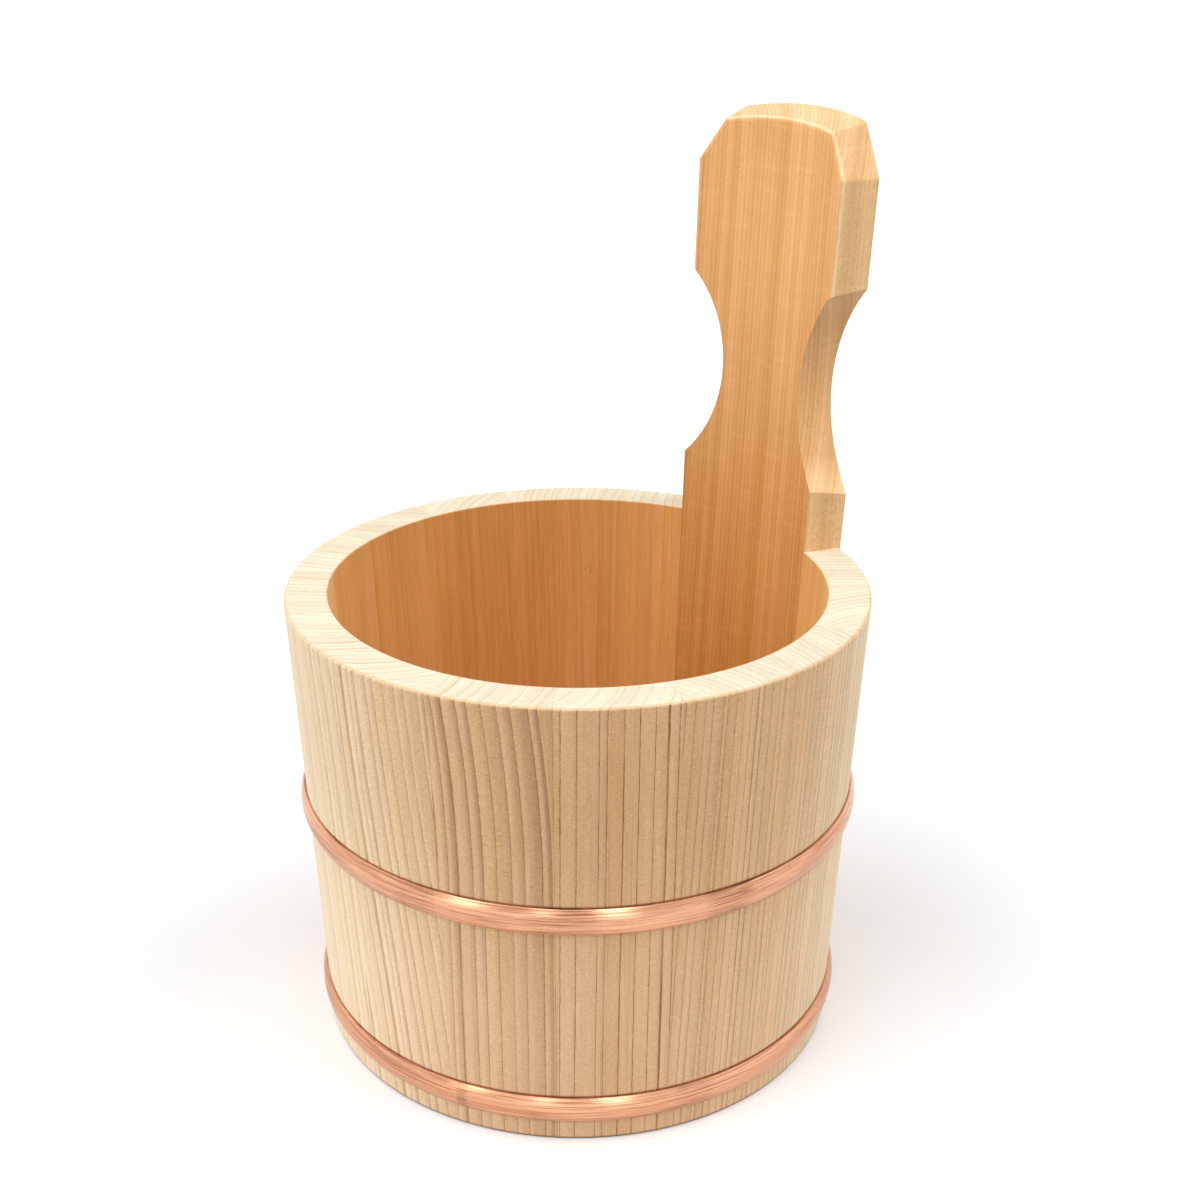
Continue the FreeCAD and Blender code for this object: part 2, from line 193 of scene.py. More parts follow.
def grainPlace(tree, given):    # in millimetres
    turned = turnBack(tree, stretch(tree, given["Vector"], (1 / mm, 1 / mm, 1 / mm)), given["Turn"])
    out, along, up = split(tree, turned)
    drift = maths(tree, "MULTIPLY", maths(tree, "SUBTRACT", up, tub["rimHeight"] / 2 / mm),
                  given["Lean"])
    across = maths(tree, "SUBTRACT", maths(tree, "SUBTRACT", out, given["Radius"]), drift)
    return across, along, up


# Growth rings: the wood is a cut through rings round a pith that lies outside the board.
# Places in a ring run from 0 to 1, lengths are in millimetres, and a noise pattern is its scale
# by axis, its detail and its roughness.
ringLook = {
    "drift": ((0.02, 0.02, 0.007), 1.5, 0.5),    # slow wander
    "ripple": ((0.05, 0.05, 0.03), 1.0, 0.5),    # and a quicker one on top
    "rippleShare": 0.12,
    "jag": ((1.3, 1.3, 0.22), 2.0, 0.5),         # fine unrest of the lines
    "jagSize": 0.35,
    "bendHeight": 105.0,                         # rings bend above it
    "widthScale": 0.9,                           # how soon the rings' width changes
    "widthShare": 1.6,
    "lateWood": (0.92, 0.965, 0.995),            # the dark half is full, fades and ends
    "latePower": 1.4,
    "lateStrength": (0.25, 1.10),
    "lineAt": 0.96,
    "lineEdges": (0.4, 1.6),                     # full within, gone past, in half line widths
    "lineStrength": (0.55, 1.05),
    "fading": ((0.7, 0.7, 0.03), 3.0, 0.6),      # long weak lengths of a line
    "dashes": ((2.0, 2.0, 0.45), 2.0, 0.6),      # short ones
    "dashShare": 0.35,
    "weakLine": (0.42, 0.78, 0.35, 1.0),
    "sideLineAt": (0.25, 0.75),
    "sideLineEdges": (0.3, 1.0),
    "sideLineChance": (0.4, 0.6),
    "broadScale": 0.33,                          # groups of rings that are darker or paler
    "broad": (0.3, 0.7),
}


def makeGrowthRings(look):
    group, given, out = newGroup("Growth rings", {
        "Vector": (0.0, 0.0, 0.0), "Turn": 0.0, "Radius": 93.0, "Lean": 0.0,
        "Face Angle": 0.0, "Pith Distance": 60.0, "Ring Width": 4.0, "Shift": 0.0,
        "Slant": 0.0, "Bend": 0.0, "Wobble": 1.0, "Unevenness": 0.5, "Late Start": 0.1,
        "Line Width": 0.4, "Seed": 0.0,
    }, ["Late Wood", "Ring Line", "Side Line", "Ring Tone", "Broad Tone"])
    across, along, up = grainPlace(group, given)
    place = combine(group, across, along, up)
    shift = combine(group, given["Seed"], given["Seed"], 0.0)

    # How far outside the ring through the board's middle this place lies
    cosine = maths(group, "COSINE", given["Face Angle"])
    sine = maths(group, "SINE", given["Face Angle"])
    outward = maths(group, "ADD", maths(group, "MULTIPLY", along, cosine),
                    maths(group, "MULTIPLY", across, sine))
    sideways = maths(group, "SUBTRACT", maths(group, "MULTIPLY", across, cosine),
                     maths(group, "MULTIPLY", along, sine))
    fromPith = maths(group, "ADD", outward, given["Pith Distance"])
    squares = maths(group, "ADD", maths(group, "MULTIPLY", fromPith, fromPith),
                    maths(group, "MULTIPLY", sideways, sideways))
    radius = maths(group, "SUBTRACT", maths(group, "SQRT", squares), given["Pith Distance"])

    # The log leans by the slant, and its rings bend above a height, wander and waver
    height = maths(group, "SUBTRACT", up, tub["rimHeight"] / 2 / mm)
    radius = maths(group, "MULTIPLY_ADD", height, given["Slant"], radius)
    above = maths(group, "MAXIMUM", maths(group, "SUBTRACT", up, look["bendHeight"]), 0.0)
    curve = maths(group, "MULTIPLY", maths(group, "MULTIPLY", above, above), given["Bend"])
    radius = maths(group, "ADD", radius, curve)
    sway = maths(group, "SUBTRACT", noise(group, place, look["drift"], shift), 0.5)
    sway = nudge(group, sway, noise(group, place, look["ripple"], shift), look["rippleShare"])
    radius = maths(group, "MULTIPLY_ADD", sway, given["Wobble"], radius)
    radius = nudge(group, radius, noise(group, place, look["jag"], shift), look["jagSize"])
    radius = maths(group, "ADD", radius, given["Shift"])

    # Count the rings, and draw each one's chances by its number
    rings = maths(group, "ADD", maths(group, "DIVIDE", radius, given["Ring Width"]), given["Seed"])
    rings = nudge(group, rings, noiseAlong(group, rings, look["widthScale"], 0.0),
                  maths(group, "MULTIPLY", given["Unevenness"], look["widthShare"]))
    inRing = maths(group, "FRACT", rings)
    drawn = addNode(group, "ShaderNodeTexWhiteNoise", {"W": maths(group, "FLOOR", rings)},
                    noise_dimensions="1D").outputs
    chances = addNode(group, "ShaderNodeSeparateColor", {0: drawn["Color"]}).outputs
    group.links.new(drawn["Value"], out["Ring Tone"])
    broad = noiseAlong(group, rings, look["broadScale"], 1.0)
    group.links.new(ramp(group, broad, *look["broad"]), out["Broad Tone"])

    # A ring darkens slowly and ends in a thin line, which fades and returns along the grain
    late = hump(group, inRing, given["Late Start"], *look["lateWood"])
    late = maths(group, "MULTIPLY", maths(group, "POWER", late, look["latePower"]),
                 between(group, chances[0], *look["lateStrength"]))
    group.links.new(late, out["Late Wood"])

    halfLine = maths(group, "MULTIPLY", 0.5, maths(
        group, "DIVIDE", given["Line Width"], given["Ring Width"]))

    def thinLine(where, core, rim):
        away = maths(group, "ABSOLUTE", maths(group, "SUBTRACT", inRing, where))
        return ramp(group, away, maths(group, "MULTIPLY", halfLine, core),
                    maths(group, "MULTIPLY", halfLine, rim), 1.0, 0.0)

    fading = noise(group, place, look["fading"], shift)
    dashes = noise(group, place, look["dashes"], shift)
    weak = ramp(group, maths(group, "MULTIPLY_ADD", dashes, look["dashShare"], fading),
                *look["weakLine"])
    line = maths(group, "MULTIPLY", thinLine(look["lineAt"], *look["lineEdges"]), weak)
    line = maths(group, "MULTIPLY", line, between(group, chances[1], *look["lineStrength"]))
    group.links.new(line, out["Ring Line"])

    # Some rings have a second, fainter line
    side = thinLine(between(group, drawn["Value"], *look["sideLineAt"]), *look["sideLineEdges"])
    side = maths(group, "MULTIPLY", side, ramp(group, chances[2], *look["sideLineChance"]))
    group.links.new(maths(group, "MULTIPLY", side, weak), out["Side Line"])
    return group


# Fibre: fine streaks along the grain, short dark flecks, nap, and the planed surface's relief
fibreLook = {
    "fine": ((1.9, 1.9, 0.06), 3.0, 0.6),
    "broad": ((0.55, 0.55, 0.02), 2.0, 0.5),
    "broadShare": 0.4,
    "spots": ((1.6, 1.6, 0.28), 2.0, 0.55),     # short flecks, in some areas only
    "area": ((0.06, 0.06, 0.02), 1.0, 0.5),
    "fleckIn": (0.68, 0.75),
    "fleckArea": (0.66, 0.76),
    "cloud": ((0.03, 0.03, 0.012), 2.0, 0.5),
    "cross": ((0.07, 0.07, 0.3), 3.0, 0.6),     # marks across the board
    "crossIn": (0.5, 0.75),
    "nap": ((0.8, 0.8, 2.4), 3.0, 0.7),         # short furry texture
    "napRelief": 0.3,
}


def makeFibre(look):
    group, given, out = newGroup("Wood fibre", {
        "Vector": (0.0, 0.0, 0.0), "Turn": 0.0, "Radius": 93.0, "Lean": 0.0, "Seed": 0.0,
    }, ["Streak", "Nap", "Fleck", "Cloud", "Cross Mark", "Relief"])
    place = combine(group, *grainPlace(group, given))
    shift = combine(group, given["Seed"], given["Seed"], given["Seed"])
    fine, broad, spots, area, cloud, cross, nap = [
        noise(group, place, look[name], shift)
        for name in ("fine", "broad", "spots", "area", "cloud", "cross", "nap")]
    group.links.new(blend(group, fine, broad, look["broadShare"]), out["Streak"])
    group.links.new(nap, out["Nap"])
    fleck = maths(group, "MULTIPLY", ramp(group, spots, *look["fleckIn"]),
                  ramp(group, area, *look["fleckArea"]))
    group.links.new(fleck, out["Fleck"])
    group.links.new(cloud, out["Cloud"])
    group.links.new(ramp(group, cross, *look["crossIn"]), out["Cross Mark"])
    group.links.new(blend(group, fine, nap, look["napRelief"]), out["Relief"])
    return group


# Faces: where the grain is cut across, where an edge is eased, and where two boards meet.
# Most pairs are for a part of the surface's direction: where an effect starts and where it is full.
faceLook = {
    "endGrain": (0.28, 0.75),
    "outside": (-0.3, 0.3),
    "sideFace": (0.6, 0.9),
    "eased": (0.30, 0.48, 0.72, 0.90),
    "edgeNoise": ((900, 900, 900), 2.0, 0.5),
    "cornerRise": 0.564,                        # of a cut-off corner's face
    "belowCorner": (-0.42, -0.34, -0.20, -0.12),
    "aboveCorner": (0.12, 0.18, 0.26, 0.33),
    "notCorner": (0.15, 0.35),
    "seam": (0.06, 0.2),                        # millimetres from the joint
    "seamFading": ((25, 25, 40), 3.0, 0.6),
    "weakSeam": (0.38, 0.6, 0.2, 1.0),
    "notSeam": (0.3, 0.7),
}


def makeFaces(look):
    group, given, out = newGroup("Cut faces", {
        "Vector": (0.0, 0.0, 0.0), "Normal": (0.0, 0.0, 0.0), "Turn": 0.0, "Half Angle": 0.2,
        "Edge Noise": 0.3, "Corner Height": 1.0,
    }, ["End Grain", "Eased Edge", "Outside", "Side Face", "Seam", "Board Side"])
    facing = split(group, turnBack(group, given["Normal"], given["Turn"]))
    place = split(group, turnBack(group, given["Vector"], given["Turn"]))
    through, sideways, upward = [maths(group, "ABSOLUTE", part) for part in facing]
    group.links.new(ramp(group, upward, *look["endGrain"]), out["End Grain"])
    group.links.new(ramp(group, facing[0], *look["outside"]), out["Outside"])
    group.links.new(ramp(group, sideways, *look["sideFace"]), out["Side Face"])

    # Round edges, and above a height also the two ends of a cut-off corner, whose normals
    # lie between the side's, the corner's and the top's
    rough = noise(group, given["Vector"], look["edgeNoise"])
    through = nudge(group, through, rough, given["Edge Noise"])
    eased = hump(group, through, *look["eased"])
    rise = maths(group, "SUBTRACT", facing[2], look["cornerRise"])
    corner = maths(group, "ADD", hump(group, rise, *look["belowCorner"]),
                   hump(group, rise, *look["aboveCorner"]))
    corner = maths(group, "MULTIPLY", corner,
                   maths(group, "GREATER_THAN", place[2], given["Corner Height"]))
    corner = maths(group, "MULTIPLY", corner, ramp(group, through, *look["notCorner"], 1.0, 0.0))
    group.links.new(maths(group, "MAXIMUM", eased, corner), out["Eased Edge"])

    # The joint shows as a fine dark line that comes and goes, on the wall's two faces only
    angle = maths(group, "ABSOLUTE", maths(group, "ARCTAN2", place[1], place[0]))
    fromJoint = maths(group, "SUBTRACT", given["Half Angle"], angle)
    fromJoint = maths(group, "MULTIPLY", fromJoint, tub["rimRadius"] / mm)
    joint = ramp(group, fromJoint, *look["seam"], 1.0, 0.0)
    fading = noise(group, given["Vector"], look["seamFading"])
    for limit in (
        ramp(group, fading, *look["weakSeam"]),
        ramp(group, sideways, *look["notSeam"], 1.0, 0.0),
        ramp(group, place[2], tub["rimHeight"], tub["rimHeight"] + mm, 1.0, 0.0),
    ):
        joint = maths(group, "MULTIPLY", joint, limit)
    group.links.new(joint, out["Seam"])

    # From 0 at the board's left side to 1 at its right
    wide = maths(group, "MULTIPLY", maths(group, "SINE", given["Half Angle"]), tub["rimRadius"])
    side = maths(group, "DIVIDE", place[1], wide)
    group.links.new(maths(group, "MULTIPLY_ADD", side, 0.5, 0.5), out["Board Side"])
    return group


growthRings = makeGrowthRings(ringLook)
fibre = makeFibre(fibreLook)
cutFaces = makeFaces(faceLook)
print("shared effects built:", len(bpy.data.node_groups))


def newMaterial(name):
    material = bpy.data.materials.new(name)
    material.use_nodes = True
    tree = material.node_tree
    shader = next(node for node in tree.nodes if node.type == "BSDF_PRINCIPLED")
    return material, tree, shader


def dress(piece, material):
    if not piece.data.materials:
        piece.data.materials.append(material)
    for slot in piece.material_slots:
        slot.link = "OBJECT"
        slot.material = material


# Wood: one material for each board, because each has rings of its own. Heights are shares of
# the tub's height.
woodLook = {
    "early": colour(230, 184, 134),      # pale wood between the lines
    "earlyCool": colour(224, 182, 137),  # some rings are greyer
    "late": colour(190, 144, 99),        # the darker half of a ring
    "lateCool": colour(186, 144, 109),
    "lateShare": 0.6,
    "lateHeights": (0.3, 0.8),
    "line": colour(146, 88, 4),          # the thin line that ends it
    "paleLine": colour(194, 150, 90),    # the same line where the wood is paler
    "lineShare": 1.2,
    "sideLineShare": 0.25,
    "paleWoodAndSideLight": (1.20, 1.55, 2.00, 1.0),  # how much paler a board turns: painted light on the tub's brighter sides, and some boards' own paler wood
    "fleck": colour(112, 72, 44),
    "insideLightLow": colour(248, 225, 180),  # painted light: multiplies the faces inside, at the bottom and at the top, for light bounced round inside the tub
    "insideLightHigh": colour(248, 225, 180),
    "insideLightHeights": (0.7, 1.8),
    "insideLines": 0.25,                 # how strong lines and nap are inside
    "end": colour(232, 224, 200),        # cut across the grain
    "endLate": colour(232, 206, 166),
    "endLine": colour(204, 152, 100),
    "endLateShare": 0.8,
    "endLineShare": 0.5,
    "endNap": 0.4,                       # how strong the nap is there
    "sideFace": 0.0,                     # how far a board's side looks like end grain
    "edge": colour(240, 190, 130),       # burnished wear and a painted highlight where an edge is eased
    "edgeShare": 0.65,
    "seam": colour(96, 62, 36),
    "seamSides": (0.4, 0.6),             # the left one's strength turns into the right one's
    "seamRelief": -0.8,
    # painted contact shadow: its colour, and where it lies at the foot and above each hoop
    "contactShade": colour(104, 56, 24),
    "footShadeHeights": (0.4 * mm, 1.4 * mm),
    "footShadeShare": 0.8,
    "hoopShadeSteps": (-1.0 * mm, -0.5 * mm, 0.1 * mm, 0.8 * mm),    # from a hoop's top
    "hoopShadeShare": 0.75,
    # painted light: the wall is painted paler below these heights
    "footLightHeights": (0.25, 0.8),
    "streakShare": 0.40,
    "napShare": 0.65,
    "cloudShare": 0.14,
    "crossShare": 0.02,
    "toneShare": 0.05,
    "broadShare": 0.08,
    "richness": (1.45, 1.0),             # darker spots are also a little richer
    "roughness": (0.54, 0.66),
    "endRoughness": 0.2,
    "specular": 0.22,
    "sheen": 0.12,
    "sheenRoughness": 0.35,
    "relief": 0.05 * mm,
    "ringRelief": 0.08,                  # how far the dark half of a ring stands up
}

# What a board's cut says unless it is changed: halfAngle is half its turn round the tub, low is
# how much paler its foot is painted, as painted light, and lateLow is how strong the dark half of a
# ring is there
plainCut = {
    "halfAngle": math.pi, "tone": 1.0, "low": 0.0, "lateLow": 1.0,
    "pale": (0.0, 0.0), "seams": (0.0, 0.0), "faces": {},
}


def woodMaterial(name, changes, look):
    cut = dict(plainCut, **changes)
    material, tree, shader = newMaterial(name)
    here = addNode(tree, "ShaderNodeTexCoord").outputs
    common = {key: cut[key] for key in ("Turn", "Radius", "Lean", "Seed")}
    rings = useGroup(tree, growthRings, {"Vector": here["Object"], **cut["rings"], **common})
    grain = useGroup(tree, fibre, {"Vector": here["Object"], **common})
    faces = useGroup(tree, cutFaces, {
        "Vector": here["Object"], "Normal": here["Normal"], "Turn": cut["Turn"],
        "Half Angle": cut["halfAngle"], **cut["faces"],
    })
    height = split(tree, here["Object"])[2]

    def byHeight(heights, low, high):
        start, end = (share * tub["rimHeight"] for share in heights)
        return ramp(tree, height, start, end, low, high)

    # Lines are weaker on the faces inside, which also get a painted warm tint for the light bounced
    # round inside the tub
    shown = between(tree, faces["Outside"], look["insideLines"], 1.0)

    def shade(mask, share, below, above):
        return mixColour(tree, maths(tree, "MULTIPLY", maths(tree, "MULTIPLY", mask, share), shown),
                         below, above)

    early = mixColour(tree, rings["Ring Tone"], look["early"], look["earlyCool"])
    late = mixColour(tree, rings["Ring Tone"], look["late"], look["lateCool"])
    ripe = maths(tree, "MULTIPLY", rings["Late Wood"],
                 byHeight(look["lateHeights"], cut["lateLow"], 1.0))
    side = shade(ripe, look["lateShare"], early, late)
    # Paler boards: painted light towards the tub's brighter sides, and on some boards their own
    # paler wood
    paleWoodAndSideLight = ramp(tree, faces["Board Side"], 0.0, 1.0, *cut["pale"])
    side = mixColour(tree, paleWoodAndSideLight, side, look["paleWoodAndSideLight"], "MULTIPLY")
    line = mixColour(tree, paleWoodAndSideLight, look["line"], look["paleLine"])
    side = shade(rings["Ring Line"], look["lineShare"], side, line)
    side = shade(rings["Side Line"], look["sideLineShare"], side, line)
    side = mixColour(tree, grain["Fleck"], side, look["fleck"])
    # Painted light on the faces inside: a warm tint for light bounced round inside the tub
    insideLight = mixColour(tree, byHeight(look["insideLightHeights"], 0.0, 1.0),
                       look["insideLightLow"], look["insideLightHigh"])
    insideLit = mixColour(tree, 1.0, side, insideLight, "MULTIPLY")
    side = mixColour(tree, faces["Outside"], insideLit, side)

    end = mixColour(tree, maths(tree, "MULTIPLY", rings["Late Wood"], look["endLateShare"]),
                    look["end"], look["endLate"])
    end = mixColour(tree, maths(tree, "MULTIPLY", rings["Ring Line"], look["endLineShare"]),
                    end, look["endLine"])
    cutAcross = maths(tree, "MAXIMUM", faces["End Grain"],
                      maths(tree, "MULTIPLY", faces["Side Face"], look["sideFace"]))
    wood = mixColour(tree, cutAcross, side, end)
    # Eased edges: burnished wear and a painted highlight
    wood = mixColour(tree, maths(tree, "MULTIPLY", faces["Eased Edge"], look["edgeShare"]),
                     wood, look["edge"])
    joint = maths(tree, "MULTIPLY", faces["Seam"],
                  ramp(tree, faces["Board Side"], *look["seamSides"], *cut["seams"]))
    wood = mixColour(tree, joint, wood, look["seam"])

    # Painted shade: a dark contact shadow under the foot and in the corner above each hoop
    contactShade = ramp(tree, height, *look["footShadeHeights"], look["footShadeShare"], 0.0)
    for hoop in ("upper_hoop", "lower_hoop"):
        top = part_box(hoop)[1].z
        corner = hump(tree, height, *(top + step for step in look["hoopShadeSteps"]))
        corner = maths(tree, "MULTIPLY", corner, faces["Outside"])
        contactShade = maths(tree, "MULTIPLY_ADD", corner, look["hoopShadeShare"], contactShade)
    wood = mixColour(tree, contactShade, wood, look["contactShade"])

    # The wall is painted paler towards the foot, as painted light, and the fibre and each ring's own
    # tone move its value
    value = byHeight(look["footLightHeights"], cut["tone"] + cut["low"], cut["tone"])
    planed = maths(tree, "MULTIPLY", between(tree, faces["End Grain"], 1.0, look["endNap"]), shown)
    nap = nudge(tree, 0.5, grain["Nap"], planed)
    for effect, share in (
        (grain["Streak"], "streakShare"), (nap, "napShare"), (grain["Cloud"], "cloudShare"),
        (grain["Cross Mark"], "crossShare"), (rings["Ring Tone"], "toneShare"),
        (rings["Broad Tone"], "broadShare"),
    ):
        value = nudge(tree, value, effect, look[share])
    tinted = addNode(tree, "ShaderNodeHueSaturation", {
        "Value": value, "Saturation": between(tree, value, *look["richness"]), "Color": wood,
    }).outputs[0]
    tree.links.new(tinted, shader.inputs["Base Color"])

    rough = between(tree, grain["Streak"], *look["roughness"])
    rough = maths(tree, "MULTIPLY_ADD", faces["End Grain"], look["endRoughness"], rough)
    tree.links.new(rough, shader.inputs["Roughness"])
    shader.inputs["Specular IOR Level"].default_value = look["specular"]
    shader.inputs["Sheen Weight"].default_value = look["sheen"]
    shader.inputs["Sheen Roughness"].default_value = look["sheenRoughness"]
    rise = maths(tree, "MULTIPLY_ADD", rings["Late Wood"], look["ringRelief"], grain["Relief"])
    rise = maths(tree, "MULTIPLY_ADD", faces["Seam"], look["seamRelief"], rise)
    bump = addNode(tree, "ShaderNodeBump", {"Height": rise, "Distance": look["relief"]})
    tree.links.new(bump.outputs[0], shader.inputs["Normal"])
    return material


# Staves: how each board was cut from its log. Face angle 0 shows the rings edge on, as upright
# lines, and 90 shows them flat. Pith, ring and shift are in millimetres, pale is the share of
# the paler tone, which on the boards towards either side is painted light for the tub's brighter
# sides, and lineExtra and lateExtra multiply woodLook's shares. Pairs are for the board's left
# and right sides.
staveCuts = {
    6: {"face": 12, "pith": 80, "ring": 3.2, "pale": (1.0, 1.0), "lineExtra": 0.32,
        "lateExtra": 0.8},
    7: {"face": 30, "pith": 60, "ring": 3.6, "slant": 0.03, "pale": (1.0, 0.75),
        "lineExtra": 0.32, "lateExtra": 0.8},
    8: {"face": 42, "pith": 60, "ring": 2.8, "slant": 0.06, "wobble": 1.6, "pale": (0.7, 0.25),
        "lineExtra": 0.55, "lateExtra": 1.1},
    9: {"face": 8, "pith": 60, "ring": 4.3, "slant": -0.01, "bend": 0.0010, "wobble": 1.6,
        "uneven": 0.4, "tone": 0.99, "pale": (0.15, 0.0), "lateExtra": 2.0, "lateLow": 0.5,
        "seams": (0.1, 0.65)},
    10: {"face": 28, "pith": 40, "ring": 3.9, "slant": 0.0, "bend": 0.0, "wobble": 0.6,
         "uneven": 0.65, "tone": 1.0, "pale": (0.0, 0.0), "lineExtra": 0.95, "lateExtra": 0.7,
         "lateStart": 0.6, "shift": 2.2, "seams": (0.5, 0.1)},
    11: {"face": -15, "pith": 60, "ring": 2.8, "slant": -0.015, "bend": 0.0, "wobble": 1.0,
         "tone": 1.0, "pale": (0.0, 0.15), "lateStart": 0.45},
    12: {"face": 20, "pith": 70, "ring": 2.6, "slant": -0.01, "pale": (0.15, 0.6),
         "lineExtra": 0.38, "lateStart": 0.4},
    13: {"ring": 3.0, "pale": (0.6, 0.8), "lineExtra": 0.18, "lateExtra": 0.5},
    14: {"pale": (0.6, 0.3), "lineExtra": 0.25, "lateExtra": 0.6},
}

# The other values are drawn between two limits, or are the same for every stave
drawnCuts = {
    "face": (-50, 50), "pith": (40, 90), "ring": (2.6, 4.4), "slant": (-0.02, 0.02),
    "bend": (-0.0003, 0.0003), "wobble": (0.8, 2.0), "tone": (0.96, 1.04), "pale": (0.0, 0.2),
}
sameCuts = {
    "uneven": 0.5, "lineExtra": 0.65, "lateExtra": 1.0, "lateStart": 0.1, "lateLow": 1.0,
    "seams": (0.15, 0.15), "low": 0.13, "shift": 0.0,
}

picker = random.Random(11)
for index in range(1, tub["staveCount"] + 1):
    cut = {key: picker.uniform(*limits) for key, limits in drawnCuts.items()}
    cut["pale"] = (cut["pale"], cut["pale"])
    cut.update(sameCuts)
    cut.update(staveCuts.get(index, {}))
    turn = math.pi / 2 + tub["handleHalfAngle"] + (index - 0.5) * tub["staveAngle"]
    name = f"stave_{index:02d}"
    dress(nodes[name], woodMaterial(f"{name} wood", {
        "Turn": turn, "Radius": tub["middleRadius"] / mm, "Lean": tub["lean"], "Seed": index * 3.7,
        "halfAngle": tub["staveAngle"] / 2,
        **{key: cut[key] for key in ("tone", "low", "lateLow", "pale", "seams")},
        "rings": {
            "Face Angle": math.radians(cut["face"]), "Pith Distance": cut["pith"],
            "Ring Width": cut["ring"], "Slant": cut["slant"], "Bend": cut["bend"],
            "Wobble": cut["wobble"], "Unevenness": cut["uneven"],
            "Late Start": cut["lateStart"], "Shift": cut["shift"],
        },
    }, dict(woodLook, lateShare=woodLook["lateShare"] * cut["lateExtra"],
            lineShare=woodLook["lineShare"] * cut["lineExtra"])))
print("staves dressed:", tub["staveCount"])

# Handle stave: straight fine lines and a warmer board
handleLook = dict(
    woodLook,
    early=colour(243, 196, 137), earlyCool=colour(241, 192, 134),
    late=colour(218, 158, 96), lateCool=colour(218, 160, 100), lateShare=0.55,
    line=colour(198, 120, 50), lineShare=0.34, sideLineShare=0.0,
    # painted shade low on the handle's inner face, painted light towards its head
    insideLightLow=colour(217, 197, 165), insideLightHigh=colour(255, 243, 232), insideLines=0.85,
    end=colour(251, 207, 157), endLate=colour(236, 188, 136), endLine=colour(198, 138, 84),
    # painted highlight along the head's eased edges and cut-off corners
    sideFace=0.4, edge=colour(255, 226, 174), edgeShare=0.85,
    streakShare=0.2, napShare=0.35, crossShare=0.06, broadShare=0.13,
)
dress(nodes["handle_stave"], woodMaterial("handle wood", {
    "Turn": math.pi / 2, "Radius": tub["middleRadius"] / mm, "Lean": tub["lean"], "Seed": 1.3,
    "halfAngle": tub["handleHalfAngle"], "seams": (0.3, 0.3),
    "faces": {"Edge Noise": 0.1, "Corner Height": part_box("handle_stave")[1].z - tub["headHeight"]},
    "rings": {
        "Face Angle": math.radians(135), "Pith Distance": 160.0, "Ring Width": 1.5,
        "Line Width": 0.3,
    },
}, handleLook))
print("handle dressed")

# Bottom planks: like every board they have the grain upright, so their tops show its ends
for index in range(1, 4):
    name = f"bottom_plank_{index:02d}"
    dress(nodes[name], woodMaterial(f"{name} wood", {
        "Turn": 0.0, "Radius": 0.0, "Lean": 0.0, "Seed": index * 5.1, "tone": 0.97,
        "rings": {"Face Angle": math.radians(70), "Pith Distance": 40.0, "Ring Width": 3.4},
    }, woodLook))

# Pegs: split bamboo, fine and greenish
bambooLook = dict(woodLook, early=colour(214, 196, 132), late=colour(180, 150, 90))
for name in ("stave_pegs", "bottom_pegs"):
    dress(nodes[name], woodMaterial(f"{name} bamboo", {
        "Turn": 0.0, "Radius": 0.0, "Lean": 0.0, "Seed": 2.2, "rings": {"Ring Width": 0.8},
    }, bambooLook))
print("bottom and pegs dressed")

# Copper hoops: solid half-round band, brushed along its length, a little tarnish
copperLook = {
    "clean": colour(240, 183, 146),
    "dull": colour(170, 102, 72),
    "cleanStreak": (0.30, 0.62),
    "tarnish": colour(120, 70, 50),
    "tarnishShare": 0.4,
    "markShown": (0.16, 0.96),   # of a darker patch, between the scratches and in them
    "roughness": (0.17, 0.35),
    "tarnishRoughness": 0.12,
    "brushing": 0.8,             # how far the brushing draws the shine out across the band
    "relief": 0.012 * mm,
    "scratchRelief": -0.6,
    "fine": ((38, 38, 3400), 3.0, 0.65),      # noise patterns per metre, long round the band
    "broad": ((22, 22, 1300), 1.0, 0.5),
    "broadShare": 0.25,
    "deep": ((45, 45, 4200), 1.0, 0.5),
    "scratchIn": (0.56, 0.70),
    "cloud": ((22, 22, 160), 3.0, 0.6),
    "tarnishIn": (0.54, 0.78),
}
# Darker patches on a hoop, the narrow one on the lower hoop being its brazed joint: turn from the
# camera's side and half width in degrees
hoopMarks = {
    "upper_hoop": [
        {"turn": -32, "width": 4.0, "share": 0.8}, {"turn": 29.5, "width": 4.5, "share": 0.9},
        {"turn": -3, "width": 6.0, "share": 0.85},
    ],
    "lower_hoop": [
        {"turn": -24, "width": 1.1, "share": 1.5}, {"turn": 24, "width": 4.0, "share": 0.5},
    ],
}


def makeBrushed(look):
    group, given, out = newGroup("Brushed band", {
        "Vector": (0.0, 0.0, 0.0), "Seed": 0.0,
    }, ["Streak", "Scratch", "Tarnish"])
    shift = combine(group, given["Seed"], given["Seed"], given["Seed"])
    fine, broad, deep, cloud = [noise(group, given["Vector"], look[name], shift)
                                for name in ("fine", "broad", "deep", "cloud")]
    group.links.new(blend(group, fine, broad, look["broadShare"]), out["Streak"])
    group.links.new(ramp(group, deep, *look["scratchIn"]), out["Scratch"])
    group.links.new(ramp(group, cloud, *look["tarnishIn"]), out["Tarnish"])
    return group


brushed = makeBrushed(copperLook)


# A soft patch towards a place round the tub. Edges are where it ends and where it is full, as
# shares of its half width in degrees.
uprightEdges = (1.4, 0.4)


def patch(tree, way, turn, height, width, edges, strength=1.0):
    facing = addNode(tree, "ShaderNodeVectorMath", {0: way, 1: direction(turn, height)},
                     operation="DOT_PRODUCT").outputs["Value"]
    start, full = (math.cos(math.radians(width * share)) for share in edges)
    return ramp(tree, facing, start, full, 0.0, strength)


